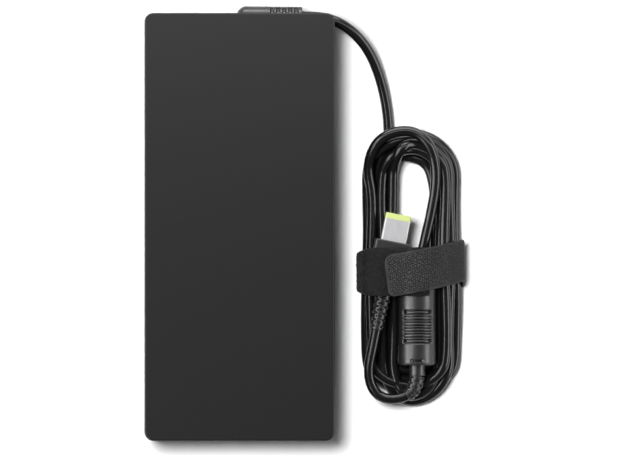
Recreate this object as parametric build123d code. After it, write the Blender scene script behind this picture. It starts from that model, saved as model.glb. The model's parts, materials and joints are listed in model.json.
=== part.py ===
from build123d import *

import math
import os

# Laptop power adapter: a flat welded case holding the converter, with its output
# cord folded into a hank beside it, a ferrite bead and a rectangular plug on the
# cord, and a hook-and-loop strap round the hank.
# Millimetres.  The origin is the bottom centre of the case.  +Z is up, +Y points
# at the end wall the cord leaves by, and +X points at the hank.

# --- driving dimensions -----------------------------------------------------

# case
CASE_WIDTH = 80.0
CASE_LENGTH = 180.0
CASE_HEIGHT = 25.4
CASE_CORNER = 3.8
WALL = 2.2
SEAM_Z = 12.7
TOP_EDGE = 0.8
BOTTOM_EDGE = 1.2
SEAM_BEVEL = 0.25
LIP_HEIGHT = 1.5
LIP_THICKNESS = 1.0
LIP_GAP = 0.1
LIP_END_GAP = 14.0
LABEL_X = (-28.0, 28.0)
LABEL_Y = (-52.0, 58.0)
LABEL_RECESS = 0.35
LABEL_GAP = 0.2
LABEL_LIFT = 0.15
POST_RADIUS = 1.6
POST_INSET = 2.5
POST_Y = (-62.0, -10.0, 46.0, 73.0)
FAR = 200.0    # beyond every edge of the adapter

# cord channel in the end wall, open at the +X corner
CHANNEL_START_X = -2.6
CHANNEL_DEPTH = 6.6
CHANNEL_LOW_Z = 8.1
CHANNEL_HIGH_Z = 17.3

# cord
CORD_DIAMETER = 4.4
CORD_RADIUS = CORD_DIAMETER / 2
ARC_SHARE = 0.45

# strain relief on the case
RELIEF_AXIS_Y = 88.9
RELIEF_START_X = 2.9
RELIEF_END_X = 26.5
RELIEF_Z = SEAM_Z
RELIEF_START_RADIUS = 4.3
RELIEF_END_RADIUS = 4.0
RELIEF_COLLAR = 10.0
RELIEF_COLLAR_THICKNESS = 1.6
RELIEF_SLOT_COUNT = 5
RELIEF_SLOT_PITCH = 2.6
RELIEF_SLOT = (1.2, 3.0, 6.0)    # along the arm, deep, across

# hank: an oval ring of cord lying on the floor beside the case
HANK_CENTRE = (72.45, -17.15)
HANK_WIDTH = 41.9
HANK_LENGTH = 117.5
HANK_HEIGHT = 8.8
HANK_ROUND = 2.2
HANK_HOLE_X = (67.1, 80.0)
HANK_HOLE_Y = (-64.0, 28.2)

# ferrite bead on the cord
BEAD_X = 75.0
BEAD_Z = 12.0
BEAD_RADIUS = 7.9
BEAD_TOP_Y = -25.3
BEAD_BOTTOM_Y = -58.4
BEAD_NECK_RADIUS = 3.4
BEAD_NECK_END_Y = -62.8
CORE_RADIUS = 6.4
CORE_LENGTH = 28.0
CORD_BORE_GAP = 0.15
BEAD_RELIEF_RADIUS = 3.05
BEAD_RIB_COUNT = 6
BEAD_RIB_PITCH = 2.48
BEAD_RIB_FIRST_Y = -36.0
BEAD_RIB_WIDTH = 11.8
BEAD_RIB_GROOVE = 0.9
BEAD_RIB_DEPTH = 0.9
BEAD_EDGE = 1.2
BEAD_SLOT_Y = -56.9
BEAD_SLOT = (5.3, 1.1, 1.6)
BEAD_RELIEF_END = (70.1, -71.57, 11.73)

# plug
PLUG_TURN = -11.0
PLUG_JUNCTION = (64.9, -6.1)
PLUG_Z = 14.2
PLUG_WIDTH = 15.7
PLUG_THICKNESS = 9.0
PLUG_BODY_LENGTH = 18.0
SHELL_WIDTH = 10.9
SHELL_THICKNESS = 4.6
SHELL_LENGTH = 9.2
SHELL_WALL = 0.3
TIP_LENGTH = 2.4
LINER_WALL = 0.6
CENTRE_PIN_RADIUS = 0.4
PLUG_RELIEF_LENGTH = 19.95
PLUG_RELIEF_RADII = (3.6, 2.7)
PLUG_SLOT_COUNT = 7
PLUG_SLOT_PITCH = 2.6
PLUG_SLOT = (2.4, 1.0, 3.4)    # deep, along the plug's axis, across
PLUG_SLOT_FIRST = 1.6
PLUG_CORNER = 1.4
PLUG_FRONT_EDGE = 0.6
PLUG_BACK_EDGE = 1.2
SHELL_SEAT = 4.0
SHELL_CORNER = 0.8

# strap
STRAP_Y = (-29.9, -8.7)
BAND_THICKNESS = 1.5
FLAP_THICKNESS = 1.3
STRAP_GAP = 0.3
FLAP_END_X = 62.0
HINGE = (95.15, 6.3)
BAND_END_X = 80.0

# converter inside the case
BOARD_THICKNESS = 1.6
BOARD_Z = 6.2
BOARD_TOP = BOARD_Z + BOARD_THICKNESS
BOARD_X = (-35.5, 35.5)
BOARD_Y = (-66.0, 76.0)
SPREADER_THICKNESS = 0.8
SPREADER_X = 30.8
SPREADER_Y = (-58.0, 74.0)
SHEET_THICKNESS = 0.4
TOP_SPREADER_Z = CASE_HEIGHT - WALL - 1.0
BOTTOM_SPREADER_Z = WALL + 0.2

# AC inlet, the ten-ampere three-pin pattern
INLET_Z = SEAM_Z
INLET_CAVITY = (24.3, 16.5)
INLET_DEPTH = 16.0
INLET_CHAMFER = 5.0
INLET_BEZEL = (27.2, 19.2)
INLET_FLANGE = (31.0, 20.6)
INLET_FLANGE_THICKNESS = 1.6
INLET_BACK = 3.0
PIN_SIZE = (2.0, 4.0)
PIN_SPACING = 14.0
PIN_OFFSET = 4.0
PIN_SETBACK = 2.6
PIN_TAIL = 5.0

# The lead: from the strain relief, round the case's corner, down to the floor and
# in under the hank's top turns.
LEAD_POINTS = [
    (26.5, 88.9, 12.7),
    (34.2, 88.9, 12.7),
    (42.0, 86.5, 12.2),
    (49.0, 81.5, 10.4),
    (54.8, 74.2, 7.4),
    (58.9, 64.6, 4.4),
    (61.5, 54.6, 2.6),
    (62.8, 45.4, 2.25),
    (63.0, 37.6, 2.25),
]

# The crossing: from the top of the hank, slanting over its opening, straight
# through the ferrite bead, round the bottom left of the hank and up to the plug.
CROSSING_POINTS = [
    (64.4, 37.4, 6.6),
    (69.4, 39.8, 10.0),
    (75.2, 39.2, 11.3),
    (80.2, 34.6, 11.5),
    (82.7, 27.2, 11.4),
    (82.9, 17.4, 11.3),
    (80.8, 5.4, 11.3),
    (77.8, -7.4, 11.6),
    (75.5, -18.0, 11.9),
    (75.0, -25.6, 12.0),
    (75.0, -61.4, 12.0),
    (74.6, -66.0, 12.0),
    (72.9, -69.7, 11.9),
    (69.6, -71.9, 11.7),
    (65.7, -72.8, 11.5),
    (61.3, -72.6, 11.3),
    (57.4, -70.4, 11.2),
    (54.9, -65.6, 11.3),
    (54.4, -59.0, 12.9),
    (56.1, -51.3, 14.2),
    (57.63, -43.51, 14.2),
]
BEAD_ENTRY = 9


# --- helpers ----------------------------------------------------------------

def block(x, y, z):
    """A box from its low and high edge along each axis."""
    size = [high - low for low, high in (x, y, z)]
    centre = [(low + high) / 2 for low, high in (x, y, z)]
    return Pos(*centre) * Box(*size)


def case_block(inset, low, high):
    """The case's rounded outline, pulled in by inset, between two heights."""
    radius = max(CASE_CORNER - inset, 0.6)
    outline = RectangleRounded(CASE_WIDTH - 2 * inset, CASE_LENGTH - 2 * inset, radius)
    return Pos(0, 0, low) * extrude(outline, high - low)


def along_y(centre, radius, low, high):
    """A round bar along Y through (x, z)."""
    middle = Pos(centre[0], (low + high) / 2, centre[1])
    return middle * Rot(90, 0, 0) * Cylinder(radius, high - low)


def route_radii(points):
    """One arc radius for each corner of a route, as large as its two runs allow."""
    radii = []
    for before, corner, after in zip(points, points[1:], points[2:]):
        run_in = Vector(corner) - Vector(before)
        run_out = Vector(after) - Vector(corner)
        half_turn = math.radians(run_in.get_angle(run_out)) / 2
        radii.append(ARC_SHARE * min(run_in.length, run_out.length) / math.tan(half_turn))
    return radii


def route(points):
    """Straight runs joined by tangent arcs; a corner that does not turn has no arc."""
    return FilletPolyline(*points, radius=route_radii(points))


def cord_tube(name, points):
    """A round cord along a route.  Prints its arcs, and its volume against its length."""
    path = route(points)
    tube = sweep(Plane(path @ 0, z_dir=path % 0) * Circle(CORD_RADIUS), path)
    section = math.pi * CORD_RADIUS ** 2
    radii = ", ".join(f"{radius:.0f}" for radius in route_radii(points))
    print(f"{name}: {path.length:.1f} mm, arc radii {radii} mm, "
          f"volume {tube.volume:.0f} of {section * path.length:.0f} mm3")
    return tube


def stadium(centre, width, length, height):
    """An upright oval block with round ends, standing on z = 0."""
    outline = SlotOverall(length, width, rotation=90)
    return Pos(centre[0], centre[1], 0) * extrude(outline, height)


# --- case -------------------------------------------------------------------

def channel_space(margin):
    """The cord channel in the end wall, grown by margin."""
    return block(
        (CHANNEL_START_X - margin, CASE_WIDTH),
        (CASE_LENGTH / 2 - CHANNEL_DEPTH - margin, CASE_LENGTH),
        (CHANNEL_LOW_Z - margin, CHANNEL_HIGH_Z + margin),
    )


def inlet_window():
    """The opening for the inlet in the other end wall."""
    gap = 0.1
    outline = RectangleRounded(INLET_BEZEL[0] + 2 * gap, INLET_BEZEL[1] + 2 * gap, 2.0)
    face = Plane(origin=(0, -CASE_LENGTH / 2 - 1, INLET_Z), x_dir=(1, 0, 0), z_dir=(0, -1, 0))
    return extrude(face * outline, -(WALL + 2))


def relief_hole():
    """Hole in the channel's back wall for the strain relief's neck."""
    radius = RELIEF_START_RADIUS + 0.1
    low = CASE_LENGTH / 2 - CHANNEL_DEPTH - WALL - 1
    return along_y((RELIEF_START_X, RELIEF_Z), radius, low, low + WALL + 2)


def case_shell():
    """The closed case before it is split: walls, cord channel and inlet window."""
    outer = case_block(0, 0, CASE_HEIGHT)
    outer = fillet(outer.faces().sort_by(Axis.Z)[-1].edges(), TOP_EDGE)
    outer = fillet(outer.faces().sort_by(Axis.Z)[0].edges(), BOTTOM_EDGE)
    cavity = case_block(WALL, WALL, CASE_HEIGHT - WALL) - channel_space(WALL)
    return outer - cavity - channel_space(0) - inlet_window() - relief_hole()


def lip_space(gap):
    """The tongue that lines the covers up along the long side walls."""
    outer = WALL - LIP_THICKNESS - gap
    ring = case_block(outer, SEAM_Z, SEAM_Z + LIP_HEIGHT + gap)
    ring -= case_block(WALL, SEAM_Z, SEAM_Z + LIP_HEIGHT + gap)
    reach = CASE_LENGTH / 2 - LIP_END_GAP + gap
    return ring & block((-CASE_WIDTH, CASE_WIDTH), (-reach, reach), (0, CASE_HEIGHT))


def seam_groove():
    """The shallow groove round the case where the covers are welded."""
    outer = case_block(-1, SEAM_Z - SEAM_BEVEL, SEAM_Z + SEAM_BEVEL)
    return outer - case_block(SEAM_BEVEL, SEAM_Z - SEAM_BEVEL, SEAM_Z + SEAM_BEVEL)


def board_posts():
    """Posts on the bottom cover that carry the circuit board."""
    posts = Part()
    for x in (BOARD_X[0] + POST_INSET, BOARD_X[1] - POST_INSET):
        for y in POST_Y:
            posts += Pos(x, y, (WALL + BOARD_Z) / 2) * Cylinder(POST_RADIUS, BOARD_Z)
    return posts & block((-FAR, FAR), (-FAR, FAR), (WALL - 0.2, BOARD_Z - 0.02))


def make_bottom_cover():
    half = case_shell() & block((-FAR, FAR), (-FAR, FAR), (-1, SEAM_Z))
    cover = half - seam_groove() + lip_space(0) + board_posts()
    return cover - block(LABEL_X, LABEL_Y, (-1, LABEL_RECESS))


def make_top_cover():
    half = case_shell() & block((-FAR, FAR), (-FAR, FAR), (SEAM_Z, FAR))
    return half - seam_groove() - lip_space(LIP_GAP)


def make_rating_label():
    """A blank label seated in the recess, a little above the face the case rests on."""
    return block(
        (LABEL_X[0] + LABEL_GAP, LABEL_X[1] - LABEL_GAP),
        (LABEL_Y[0] + LABEL_GAP, LABEL_Y[1] - LABEL_GAP),
        (LABEL_LIFT, LABEL_RECESS - 0.02),
    )


# --- AC inlet ---------------------------------------------------------------

INLET_FRONT_Y = -CASE_LENGTH / 2


def inlet_section(size, corner):
    """A plane section of the inlet, centred on it, looking in along +Y."""
    face = Plane(origin=(0, INLET_FRONT_Y, INLET_Z), x_dir=(1, 0, 0), z_dir=(0, -1, 0))
    return face * RectangleRounded(size[0], size[1], corner)


def inlet_cavity():
    """The socket for the mains plug, with its two upper corners cut off."""
    width, height = INLET_CAVITY[0] / 2, INLET_CAVITY[1] / 2
    cut = INLET_CHAMFER
    outline = Polyline(
        (-width, -height), (width, -height), (width, height - cut),
        (width - cut, height), (cut - width, height), (-width, height - cut), close=True,
    )
    face = Plane(origin=(0, INLET_FRONT_Y, INLET_Z), x_dir=(1, 0, 0), z_dir=(0, -1, 0))
    return extrude(face * make_face(outline), -INLET_DEPTH)


def pin_places():
    """The three contact pins: name, x and z."""
    side = PIN_SPACING / 2
    low = INLET_Z - PIN_OFFSET / 2
    return [
        ("inlet_pin_line", -side, low),
        ("inlet_pin_neutral", side, low),
        ("inlet_pin_earth", 0.0, low + PIN_OFFSET),
    ]


def pin_block(x, z, gap, front, back):
    return block(
        (x - PIN_SIZE[0] / 2 - gap, x + PIN_SIZE[0] / 2 + gap),
        (front, back),
        (z - PIN_SIZE[1] / 2 - gap, z + PIN_SIZE[1] / 2 + gap),
    )


def make_inlet_housing():
    depth = INLET_DEPTH + INLET_BACK
    body = extrude(inlet_section(INLET_BEZEL, 1.9), -depth)
    flange = extrude(inlet_section(INLET_FLANGE, 1.0), -INLET_FLANGE_THICKNESS)
    body += Pos(0, WALL + 0.1, 0) * flange
    body -= inlet_cavity()
    for _, x, z in pin_places():
        body -= pin_block(x, z, 0.01, INLET_FRONT_Y, INLET_FRONT_Y + depth + 1)
    return body


def make_inlet_pin(x, z):
    front = INLET_FRONT_Y + PIN_SETBACK
    back = INLET_FRONT_Y + INLET_DEPTH + INLET_BACK + PIN_TAIL
    pin = pin_block(x, z, 0, front, back)
    return chamfer(pin.faces().sort_by(Axis.Y)[0].edges(), 0.5)


# --- converter --------------------------------------------------------------

CAPACITOR_RADIUS = 7.8
CAPACITOR_X = (-26.0, -8.6)
CAPACITOR_Y = (8.0, 46.0)
CAPACITOR_Z = 12.6


def capacitor_cutout():
    reach = CAPACITOR_RADIUS + 0.8
    return block(
        (CAPACITOR_X[0] - reach, CAPACITOR_X[1] + reach),
        (CAPACITOR_Y[0] - 1, CAPACITOR_Y[1] + 1),
        (0, CASE_HEIGHT),
    )


def make_circuit_board():
    return block(BOARD_X, BOARD_Y, (BOARD_Z, BOARD_TOP)) - capacitor_cutout()


def on_board(x, y, height, lift=0.05):
    """A component body standing on the board."""
    return block(x, y, (BOARD_TOP + lift, BOARD_TOP + lift + height))


FUSE_PLACE = (-27.0, -57.0, BOARD_TOP + 2.9)
FUSE_TUBE = (2.4, 9.0)    # radius, length
FUSE_CAP = (2.8, 3.0)
X_CAPACITOR = ((10.0, 32.0), (-60.0, -50.0), 13.0)
Y_CAPACITOR_X = 26.0
Y_CAPACITOR_Y = (-44.0, -38.0)
Y_CAPACITOR_DISC = (4.5, 3.0)


def make_fuse():
    radius, length = FUSE_CAP
    fuse = Pos(*FUSE_PLACE) * Rot(0, 90, 0) * Cylinder(*FUSE_TUBE)
    reach = (FUSE_TUBE[1] + length) / 2
    for side in (-reach, reach):
        fuse += Pos(side, 0, 0) * Pos(*FUSE_PLACE) * Rot(0, 90, 0) * Cylinder(radius, length)
    return fuse


def make_x_capacitor():
    box = on_board(*X_CAPACITOR)
    return fillet(box.edges().filter_by(Axis.Z), 1.0)


def make_y_capacitors():
    lift = BOARD_TOP + Y_CAPACITOR_DISC[0] + 0.7
    return Compound(children=[
        Pos(Y_CAPACITOR_X, y, lift) * Rot(90, 0, 0) * Cylinder(*Y_CAPACITOR_DISC)
        for y in Y_CAPACITOR_Y
    ])


CHOKE_PLACE = (-18.0, -40.0, BOARD_TOP + 6.6)


CHOKE_RING = (5.5, 9.5, 8.0)    # inner and outer radius, height
CHOKE_WINDING = (4.0, 11.0, 11.0)
BRIDGE_PLACE = (0.0, -30.0, BOARD_TOP + 7.0)
BRIDGE_SIZE = (16.0, 4.0, 13.0)


def upright_ring(inner, outer, height):
    return Cylinder(outer, height) - Cylinder(inner, height + 1)


def make_choke_core():
    return Pos(*CHOKE_PLACE) * upright_ring(*CHOKE_RING)


def make_choke_windings():
    """Two windings over opposite halves of the choke's core."""
    inner, outer, height = CHOKE_RING
    gap = 0.1
    shell = upright_ring(*CHOKE_WINDING) - upright_ring(inner - gap, outer + gap, height + 2 * gap)
    halves = []
    for side in (-8.0, 8.0):
        halves.append(Pos(*CHOKE_PLACE) * (shell & Pos(side, 0, 0) * Box(12, FAR, FAR)))
    return Compound(children=halves)


def make_bridge_rectifier():
    return Pos(*BRIDGE_PLACE) * Box(*BRIDGE_SIZE)


def core_with_gap(x, y, width, length, height, leg):
    """A ferrite core: an outer frame round a winding space, with a centre leg."""
    outer = on_board((x - width / 2, x + width / 2), (y - length / 2, y + length / 2), height)
    low = BOARD_TOP + 2.0
    space = block(
        (x - width / 2 + 4, x + width / 2 - 4),
        (y - length / 2 - 1, y + length / 2 + 1),
        (low, low + height - 4),
    )
    post = Pos(x, y, low + (height - 4) / 2) * Cylinder(leg, height - 3.8)
    return outer - space + post


def winding_round(x, y, inner, outer, height):
    return Pos(x, y, BOARD_TOP + 2.1 + height / 2) * upright_ring(inner, outer, height)


PFC_PLACE = (20.0, -14.0)
TRANSFORMER_PLACE = (19.0, 28.0)


def make_pfc_choke_core():
    return core_with_gap(*PFC_PLACE, 28, 24, 12.6, 4.0)


def make_pfc_choke_winding():
    return winding_round(*PFC_PLACE, 4.2, 9.6, 8.2)


def make_transformer_core():
    return core_with_gap(*TRANSFORMER_PLACE, 31, 30, 12.8, 5.0)


def make_transformer_winding():
    return winding_round(*TRANSFORMER_PLACE, 5.2, 11.2, 8.4)


def make_bulk_capacitors():
    cans = []
    for x in CAPACITOR_X:
        can = along_y((x, CAPACITOR_Z), CAPACITOR_RADIUS, *CAPACITOR_Y)
        cans.append(fillet(can.edges().filter_by(GeomType.CIRCLE), 0.8))
    return Compound(children=cans)


HEATSINK_WALL_X = (32.6, 34.4)
HEATSINK_FOOT_X = (27.0, 32.6)
HEATSINK_HEIGHT = 13.0
HEATSINK_FOOT = 1.5
PRIMARY_HEATSINK_Y = (-30.0, 4.0)
SECONDARY_HEATSINK_Y = (48.0, 74.0)
TRANSISTOR_X = 30.2
TRANSISTOR_Z = BOARD_TOP + 7.6
POWER_TRANSISTOR_Y = (-23.0, -10.0)
POWER_TRANSISTOR = (4.4, 10.0, 11.0)
RECTIFIER_Y = (54.0, 67.0)
RECTIFIER = (4.4, 9.0, 11.0)
OUTPUT_CAN = (4.8, 12.6)    # radius, height
OUTPUT_CAN_X = (-12.0, -1.0, 10.0)
OUTPUT_CAN_Y = (54.0, 65.0)
CONTROL_BOARD = ((-24.0, -22.6), (50.0, 72.0), 12.0)


def heatsink(across_y):
    """An L-shaped heatsink at the +X side wall."""
    wall = on_board(HEATSINK_WALL_X, across_y, HEATSINK_HEIGHT)
    return wall + on_board(HEATSINK_FOOT_X, across_y, HEATSINK_FOOT)


def make_primary_heatsink():
    return mirror(heatsink(PRIMARY_HEATSINK_Y), about=Plane.YZ)


def make_secondary_heatsink():
    return heatsink(SECONDARY_HEATSINK_Y)


def packages(x, places_y, size):
    """Flat component bodies in a row against a heatsink."""
    return Compound(children=[Pos(x, y, TRANSISTOR_Z) * Box(*size) for y in places_y])


def make_power_transistors():
    return packages(-TRANSISTOR_X, POWER_TRANSISTOR_Y, POWER_TRANSISTOR)


def make_rectifier_transistors():
    return packages(TRANSISTOR_X, RECTIFIER_Y, RECTIFIER)


def make_output_capacitors():
    lift = BOARD_TOP + OUTPUT_CAN[1] / 2 + 0.3
    return Compound(children=[
        Pos(x, y, lift) * Cylinder(*OUTPUT_CAN) for x in OUTPUT_CAN_X for y in OUTPUT_CAN_Y
    ])


def make_control_board():
    return on_board(*CONTROL_BOARD)


def make_heat_spreader(low):
    return block((-SPREADER_X, SPREADER_X), SPREADER_Y, (low, low + SPREADER_THICKNESS))


def make_insulation_sheet():
    low = BOTTOM_SPREADER_Z + SPREADER_THICKNESS + 0.1
    reach = SPREADER_X - 1
    return block((-reach, reach), (-57, 44), (low, low + SHEET_THICKNESS))


def make_inlet_wires():
    """Two mains wires and the earth wire, from the pins' tails to the board."""
    tail = INLET_FRONT_Y + INLET_DEPTH + INLET_BACK + PIN_TAIL
    wires = []
    for _, x, z in pin_places():
        points = [(x, tail + 0.05, z), (x, tail + 3.0, z), (x, tail + 4.5, BOARD_TOP + 0.9)]
        path = FilletPolyline(*points, radius=0.6)
        wires.append(sweep(Plane(path @ 0, z_dir=path % 0) * Circle(0.8), path))
    return Compound(children=wires)


def make_output_leads():
    """Two leads from the board to the strain relief's inner end."""
    end = CASE_LENGTH / 2 - CHANNEL_DEPTH - WALL - RELIEF_COLLAR_THICKNESS - 0.25
    leads = []
    for side in (-1.4, 1.4):
        x = RELIEF_START_X + side
        points = [(x, end, RELIEF_Z), (x, end - 3.0, RELIEF_Z), (x, end - 4.6, BOARD_TOP + 1.0)]
        path = FilletPolyline(*points, radius=0.8)
        leads.append(sweep(Plane(path @ 0, z_dir=path % 0) * Circle(0.9), path))
    return Compound(children=leads)


# --- strain relief on the case ----------------------------------------------

def make_cord_strain_relief():
    """Elbow: a collar inside the wall, a neck through it, and a tapered slotted arm."""
    wall_back = CASE_LENGTH / 2 - CHANNEL_DEPTH - WALL
    axis = (RELIEF_START_X, RELIEF_Z)
    neck = along_y(axis, RELIEF_START_RADIUS, wall_back - 0.5, RELIEF_AXIS_Y)
    knuckle = Pos(RELIEF_START_X, RELIEF_AXIS_Y, RELIEF_Z) * Sphere(RELIEF_START_RADIUS)
    length = RELIEF_END_X - RELIEF_START_X
    middle = Pos((RELIEF_START_X + RELIEF_END_X) / 2, RELIEF_AXIS_Y, RELIEF_Z)
    arm = middle * Rot(0, 90, 0) * Cone(RELIEF_START_RADIUS, RELIEF_END_RADIUS, length)
    collar = Pos(RELIEF_START_X, wall_back - 0.1 - RELIEF_COLLAR_THICKNESS / 2, RELIEF_Z) * Box(
        RELIEF_COLLAR, RELIEF_COLLAR_THICKNESS, RELIEF_COLLAR)
    relief = neck + knuckle + arm + collar
    return relief - relief_slots()


def relief_slots():
    """Pairs of slots, turned a quarter turn each time, that let the arm bend."""
    along, deep, across = RELIEF_SLOT
    slots = Part()
    for index in range(RELIEF_SLOT_COUNT):
        x = RELIEF_END_X - 2 * along - index * RELIEF_SLOT_PITCH
        for side in (-RELIEF_START_RADIUS, RELIEF_START_RADIUS):
            if index % 2:
                slots += Pos(x, RELIEF_AXIS_Y + side, RELIEF_Z) * Box(along, deep, across)
            else:
                slots += Pos(x, RELIEF_AXIS_Y, RELIEF_Z + side) * Box(along, across, deep)
    return slots


# --- hank, bead and cord ----------------------------------------------------

def make_cord_hank():
    """The outer shape of the folded cord, notched for the strap and the bead."""
    ring = stadium(HANK_CENTRE, HANK_WIDTH, HANK_LENGTH, HANK_HEIGHT)
    ring = fillet(ring.faces().sort_by(Axis.Z)[-1].edges(), HANK_ROUND)
    hole_centre = (sum(HANK_HOLE_X) / 2, sum(HANK_HOLE_Y) / 2)
    hole_width = HANK_HOLE_X[1] - HANK_HOLE_X[0]
    hole_length = HANK_HOLE_Y[1] - HANK_HOLE_Y[0]
    ring -= stadium(hole_centre, hole_width, hole_length, HANK_HEIGHT)
    ring -= along_y((BEAD_X, BEAD_Z), BEAD_RADIUS + 0.4, BEAD_BOTTOM_Y - 1, BEAD_TOP_Y + 1)
    return ring - strap_squeeze()


def cord_channel(points, gap):
    """The space the cord takes along a route, for the pieces moulded round it."""
    path = route(points)
    return sweep(Plane(path @ 0, z_dir=path % 0) * Circle(CORD_RADIUS + gap), path)


def make_bead_core():
    middle = (BEAD_TOP_Y + BEAD_BOTTOM_Y) / 2
    axis = (BEAD_X, BEAD_Z)
    core = along_y(axis, CORE_RADIUS, middle - CORE_LENGTH / 2, middle + CORE_LENGTH / 2)
    return core - along_y(axis, CORD_RADIUS + CORD_BORE_GAP, BEAD_BOTTOM_Y, BEAD_TOP_Y)


def bead_ribs():
    """Grooves across the upper side of the bead's cover, which leave ribs between them."""
    half = BEAD_RIB_GROOVE / 2
    grooves = Part()
    for index in range(BEAD_RIB_COUNT + 1):
        y = BEAD_RIB_FIRST_Y + (0.5 - index) * BEAD_RIB_PITCH
        ring = along_y((BEAD_X, BEAD_Z), BEAD_RADIUS + 1, y - half, y + half)
        ring -= along_y((BEAD_X, BEAD_Z), BEAD_RADIUS - BEAD_RIB_DEPTH, y - 1, y + 1)
        grooves += ring
    return grooves & block(
        (BEAD_X - BEAD_RIB_WIDTH / 2, BEAD_X + BEAD_RIB_WIDTH / 2), (-FAR, FAR), (BEAD_Z, FAR))


def make_bead_cover():
    """Moulded cover: a round body closed over the ferrite core, with a neck below it."""
    axis = (BEAD_X, BEAD_Z)
    body = along_y(axis, BEAD_RADIUS, BEAD_BOTTOM_Y, BEAD_TOP_Y)
    body = fillet(body.edges().filter_by(GeomType.CIRCLE), BEAD_EDGE)
    body += along_y(axis, BEAD_NECK_RADIUS, BEAD_NECK_END_Y, BEAD_BOTTOM_Y + 1)
    middle = (BEAD_TOP_Y + BEAD_BOTTOM_Y) / 2
    reach = CORE_LENGTH / 2 + 0.1
    body -= along_y(axis, CORE_RADIUS + 0.05, middle - reach, middle + reach)
    body -= along_y(axis, CORD_RADIUS + CORD_BORE_GAP, BEAD_NECK_END_Y - 1, BEAD_TOP_Y + 1)
    slot = Pos(BEAD_X, BEAD_SLOT_Y, BEAD_Z + BEAD_RADIUS) * Box(*BEAD_SLOT)
    return body - bead_ribs() - slot


def make_bead_strain_relief():
    """Sleeve on the cord below the bead, following its bend."""
    first = (BEAD_X - 0.13, BEAD_NECK_END_Y - 0.1, BEAD_Z)
    bend = CROSSING_POINTS[BEAD_ENTRY + 2:BEAD_ENTRY + 4]
    path = route([first, *bend, BEAD_RELIEF_END])
    sleeve = sweep(Plane(path @ 0, z_dir=path % 0) * Circle(BEAD_RELIEF_RADIUS), path)
    return sleeve - cord_channel(CROSSING_POINTS[BEAD_ENTRY:], CORD_BORE_GAP)


# --- plug -------------------------------------------------------------------

PLUG_FRAME = Pos(PLUG_JUNCTION[0], PLUG_JUNCTION[1], PLUG_Z) * Rot(0, 0, PLUG_TURN)


def plug_bar(width, thickness, start, length, corner):
    """A rounded bar along the plug's axis; start is counted from the overmould's front."""
    section = Plane(origin=(0, start, 0), x_dir=(1, 0, 0), z_dir=(0, -1, 0))
    outline = RectangleRounded(width, thickness, corner)
    return extrude(section * outline, -length)


def make_plug_overmould():
    body = plug_bar(PLUG_WIDTH, PLUG_THICKNESS, -PLUG_BODY_LENGTH, PLUG_BODY_LENGTH, PLUG_CORNER)
    body = fillet(body.faces().sort_by(Axis.Y)[-1].edges(), PLUG_FRONT_EDGE)
    body = fillet(body.faces().sort_by(Axis.Y)[0].edges(), PLUG_BACK_EDGE)
    gap = 0.04
    seat = plug_bar(SHELL_WIDTH + gap, SHELL_THICKNESS + gap, -SHELL_SEAT, SHELL_SEAT + 1,
                    SHELL_CORNER + gap / 2)
    return PLUG_FRAME * (body - seat)


def make_plug_shell():
    """Thin metal sleeve, seated in the overmould."""
    back = 0.1 - SHELL_SEAT
    length = SHELL_LENGTH - back
    outer = plug_bar(SHELL_WIDTH, SHELL_THICKNESS, back, length, SHELL_CORNER)
    inner = plug_bar(SHELL_WIDTH - 2 * SHELL_WALL, SHELL_THICKNESS - 2 * SHELL_WALL,
                     back - 1, length + 2, SHELL_CORNER - SHELL_WALL)
    return PLUG_FRAME * (outer - inner)


def liner_space(start, length):
    width = SHELL_WIDTH - 2 * SHELL_WALL - 2 * LINER_WALL
    thickness = SHELL_THICKNESS - 2 * SHELL_WALL - 2 * LINER_WALL
    return plug_bar(width, thickness, start, length, 0.4)


def make_plug_tip():
    """Yellow insulator: a lining inside the metal sleeve and a rim at its tip."""
    gap = 0.03
    lining = plug_bar(SHELL_WIDTH - 2 * SHELL_WALL - gap, SHELL_THICKNESS - 2 * SHELL_WALL - gap,
                      -3.8, SHELL_LENGTH + 3.8, 0.48)
    rim = plug_bar(SHELL_WIDTH, SHELL_THICKNESS, SHELL_LENGTH + 0.02, TIP_LENGTH - 0.02,
                   SHELL_CORNER)
    lining += plug_bar(SHELL_WIDTH - 2, SHELL_THICKNESS - 1.4, SHELL_LENGTH - 1, 2, 0.4)
    space = liner_space(-1.0, SHELL_LENGTH + TIP_LENGTH + 2)
    pin_seat = Pos(0, -2, 0) * Rot(90, 0, 0) * Cylinder(CENTRE_PIN_RADIUS + 0.01, 6)
    return PLUG_FRAME * (lining + rim - space - pin_seat)


def make_plug_centre_pin():
    front = SHELL_LENGTH + TIP_LENGTH - 3.0
    back = -3.8
    pin = Pos(0, (front + back) / 2, 0) * Rot(90, 0, 0) * Cylinder(CENTRE_PIN_RADIUS, front - back)
    return PLUG_FRAME * pin


def make_plug_strain_relief():
    """Tapered sleeve behind the plug, with staggered slots."""
    start = -PLUG_BODY_LENGTH - 0.05
    end = start - PLUG_RELIEF_LENGTH
    middle = Pos(0, (start + end) / 2, 0) * Rot(90, 0, 0)
    sleeve = middle * Cone(*PLUG_RELIEF_RADII, PLUG_RELIEF_LENGTH)
    deep, along, across = PLUG_SLOT
    slots = Part()
    for index in range(PLUG_SLOT_COUNT):
        y = end + PLUG_SLOT_FIRST + index * PLUG_SLOT_PITCH
        for side in (-PLUG_RELIEF_RADII[0], PLUG_RELIEF_RADII[0]):
            slots += Pos(side, y, 0) * Box(deep, along, across)
            slots += Pos(0, y + PLUG_SLOT_PITCH / 2, side) * Box(across, along, deep)
    return PLUG_FRAME * (sleeve - slots)


# --- strap ------------------------------------------------------------------

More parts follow.
